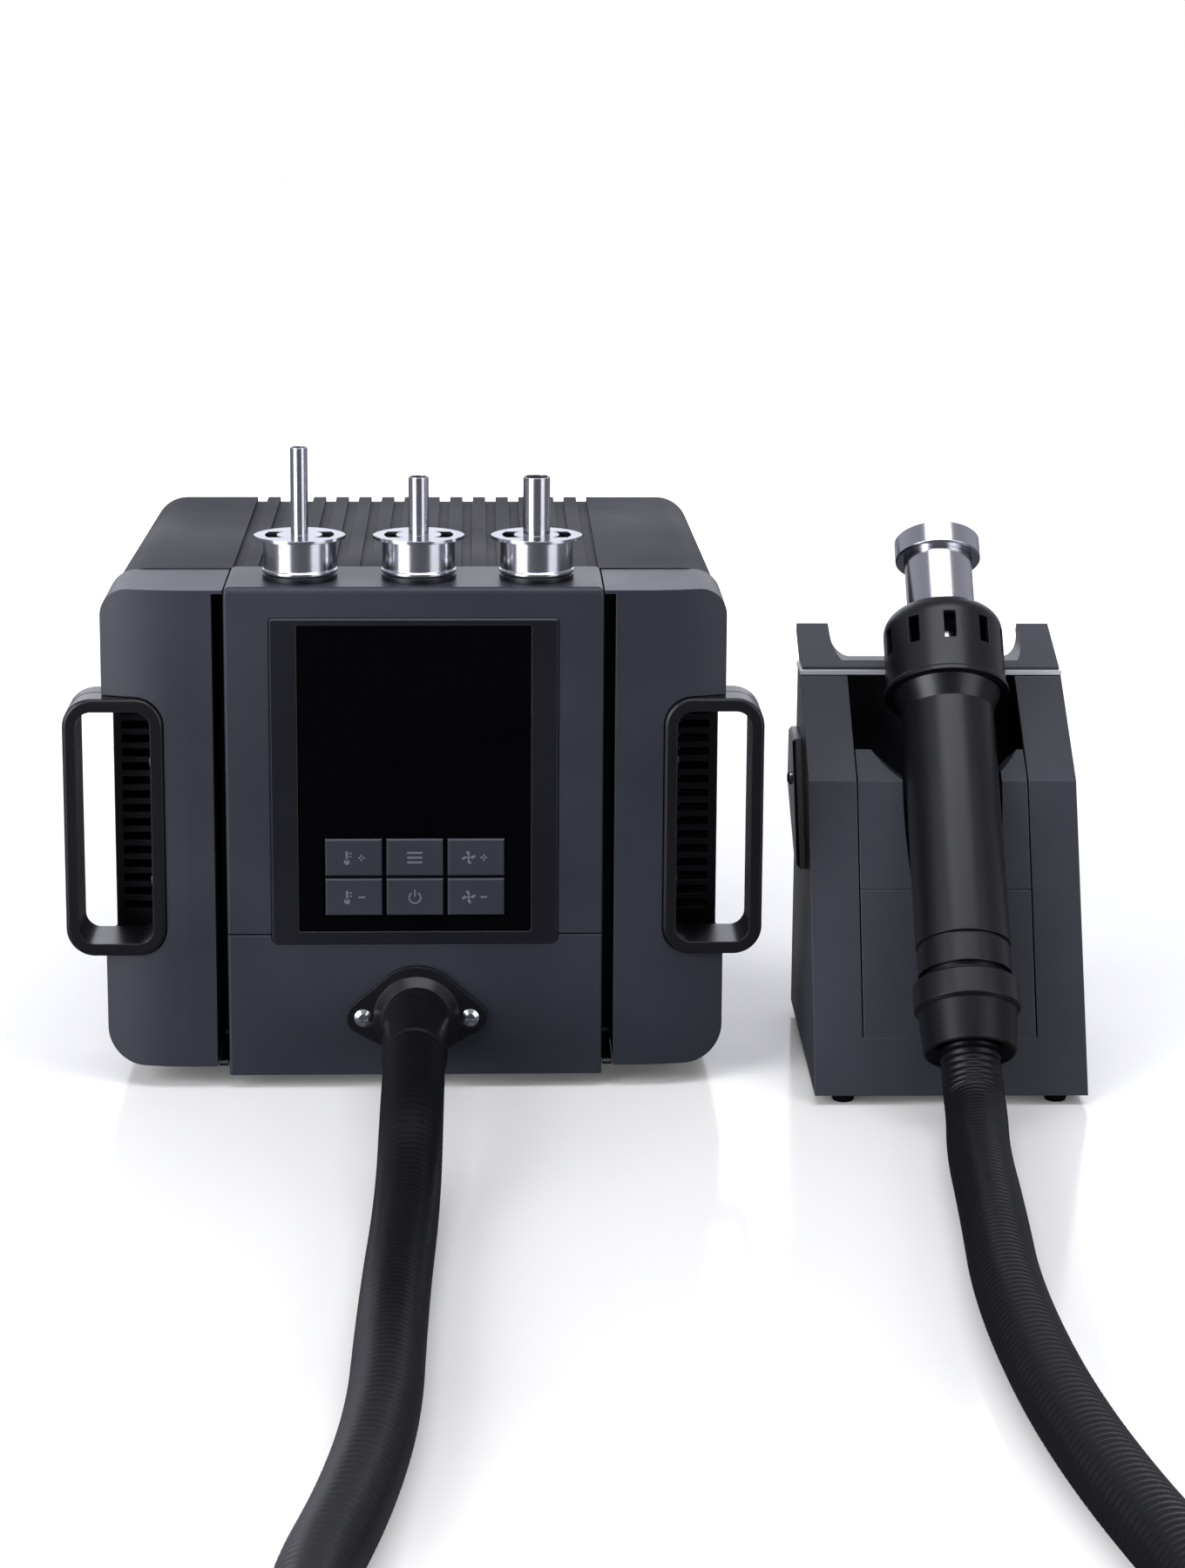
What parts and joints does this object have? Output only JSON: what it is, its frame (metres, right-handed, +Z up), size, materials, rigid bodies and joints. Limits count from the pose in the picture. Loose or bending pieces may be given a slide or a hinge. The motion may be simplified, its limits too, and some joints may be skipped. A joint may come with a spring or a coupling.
{
  "type": "hot air station",
  "caption": "Hot air rework station: control unit with keypad and display, spare nozzles, carrying rings, separate stand, and a handset on a hose.",
  "frame": {"origin": "on the table, under the middle of the control unit and the stand together, measured without the hose", "axes": "+Z up; the display, keys and hose outlet face -Y; the stand is to the right, at +X"},
  "size_m": [0.393, 0.7908, 0.2485],
  "materials": {
    "cover_plastic": "fine satin texture",
    "case_metal": "satin powder coat",
    "black_plastic": "fine matt texture",
    "ring_plastic": "satin",
    "frame_plastic": "satin",
    "black_glass": "gloss",
    "key_plastic": "satin",
    "rubber": "matt",
    "silicone": "matt",
    "display_plastic": "gloss",
    "board": "solder resist",
    "component_black": "matt",
    "component_grey": "satin",
    "polished_steel": "polished",
    "screw_steel": "zinc plated",
    "foam": "open foam",
    "impeller_plastic": "moulded",
    "stand_plastic": "fine satin texture",
    "stand_dark": "satin",
    "ceramic": "fired ceramic"
  },
  "bodies": {
    "station": {"top_cover": "case_metal", "base_plate": "case_metal", "back_panel": "case_metal", "front_chassis": "black_plastic", "centre_panel": "cover_plastic", "lower_panel": "cover_plastic", "display_frame": "frame_plastic", "display_window": "black_glass", "left_front_shell": "cover_plastic", "right_front_shell": "cover_plastic", "left_louver": "black_plastic", "right_louver": "black_plastic", "left_handle": "ring_plastic", "right_handle": "ring_plastic", "handle_screws": "screw_steel", "nozzle_posts": "black_plastic", "hose_flange": "black_plastic", "flange_screws": "screw_steel", "hose_collar": "rubber", "station_feet": "rubber", "housing_screws": "screw_steel", "mains_inlet": "black_plastic", "keypad_mat": "rubber", "display_module": "display_plastic", "control_board": "board", "control_chips": "component_black", "blower_housing": "black_plastic", "blower_motor": "component_grey", "air_duct": "silicone", "power_board": "board", "power_parts": "component_grey", "intake_filter": "foam", "dock_magnet": "component_grey", "stand_body": "stand_plastic", "stand_channel": "stand_plastic", "stand_base": "stand_plastic", "heat_plate": "polished_steel", "stand_cradle": "stand_plastic", "side_cap": "stand_dark", "stand_feet": "rubber", "stand_screws": "screw_steel", "air_hose": "rubber"},
    "key_temp_up_cap": {"key_temp_up": "key_plastic"},
    "key_channel_cap": {"key_channel": "key_plastic"},
    "key_flow_up_cap": {"key_flow_up": "key_plastic"},
    "key_temp_down_cap": {"key_temp_down": "key_plastic"},
    "key_power_cap": {"key_power": "key_plastic"},
    "key_flow_down_cap": {"key_flow_down": "key_plastic"},
    "impeller": {"blower_impeller": "impeller_plastic"},
    "spare_small": {"nozzle_small": "polished_steel"},
    "spare_medium": {"nozzle_medium": "polished_steel"},
    "spare_large": {"nozzle_large": "polished_steel"},
    "fuse_holder": {"fuse_drawer": "black_plastic"},
    "handset": {"handset_barrel": "black_plastic", "rear_collar": "black_plastic", "rear_boot": "rubber", "vent_cover": "black_plastic", "heater_tube": "polished_steel", "heater_core": "ceramic"},
    "handset_tip": {"handset_nozzle": "polished_steel"}
  },
  "joints": [
    {"name": "key_temp_up_press", "type": "slide", "parent": "station", "child": "key_temp_up_cap", "axis": [0, 1, 0], "range_m": [0, 0.0006], "stiffness_N_per_m": 300, "springref_m": -0.002},
    {"name": "key_channel_press", "type": "slide", "parent": "station", "child": "key_channel_cap", "axis": [0, 1, 0], "range_m": [0, 0.0006], "stiffness_N_per_m": 300, "springref_m": -0.002},
    {"name": "key_flow_up_press", "type": "slide", "parent": "station", "child": "key_flow_up_cap", "axis": [0, 1, 0], "range_m": [0, 0.0006], "stiffness_N_per_m": 300, "springref_m": -0.002},
    {"name": "key_temp_down_press", "type": "slide", "parent": "station", "child": "key_temp_down_cap", "axis": [0, 1, 0], "range_m": [0, 0.0006], "stiffness_N_per_m": 300, "springref_m": -0.002},
    {"name": "key_power_press", "type": "slide", "parent": "station", "child": "key_power_cap", "axis": [0, 1, 0], "range_m": [0, 0.0006], "stiffness_N_per_m": 300, "springref_m": -0.002},
    {"name": "key_flow_down_press", "type": "slide", "parent": "station", "child": "key_flow_down_cap", "axis": [0, 1, 0], "range_m": [0, 0.0006], "stiffness_N_per_m": 300, "springref_m": -0.002},
    {"name": "impeller_spin", "type": "hinge", "parent": "station", "child": "impeller", "pos_m": [-0.06301, 0.07543, 0.076], "axis": [0, 1, 0], "continuous": true},
    {"name": "small_nozzle_lift", "type": "slide", "parent": "station", "child": "spare_small", "axis": [0, 0, 1], "range_m": [0, 0.06]},
    {"name": "medium_nozzle_lift", "type": "slide", "parent": "station", "child": "spare_medium", "axis": [0, 0, 1], "range_m": [0, 0.06]},
    {"name": "large_nozzle_lift", "type": "slide", "parent": "station", "child": "spare_large", "axis": [0, 0, 1], "range_m": [0, 0.06]},
    {"name": "fuse_drawer_slide", "type": "slide", "parent": "station", "child": "fuse_holder", "axis": [0, 1, 0], "range_m": [0, 0.014]},
    {"name": "handset_lift", "type": "slide", "parent": "station", "child": "handset", "axis": [-0.008, -0.766, 0.6428], "range_m": [0, 0.07], "deforming": ["air_hose"]},
    {"name": "handset_nozzle_pull", "type": "slide", "parent": "handset", "child": "handset_tip", "axis": [0.0067, 0.6428, 0.766], "range_m": [0, 0.03]}
  ]
}
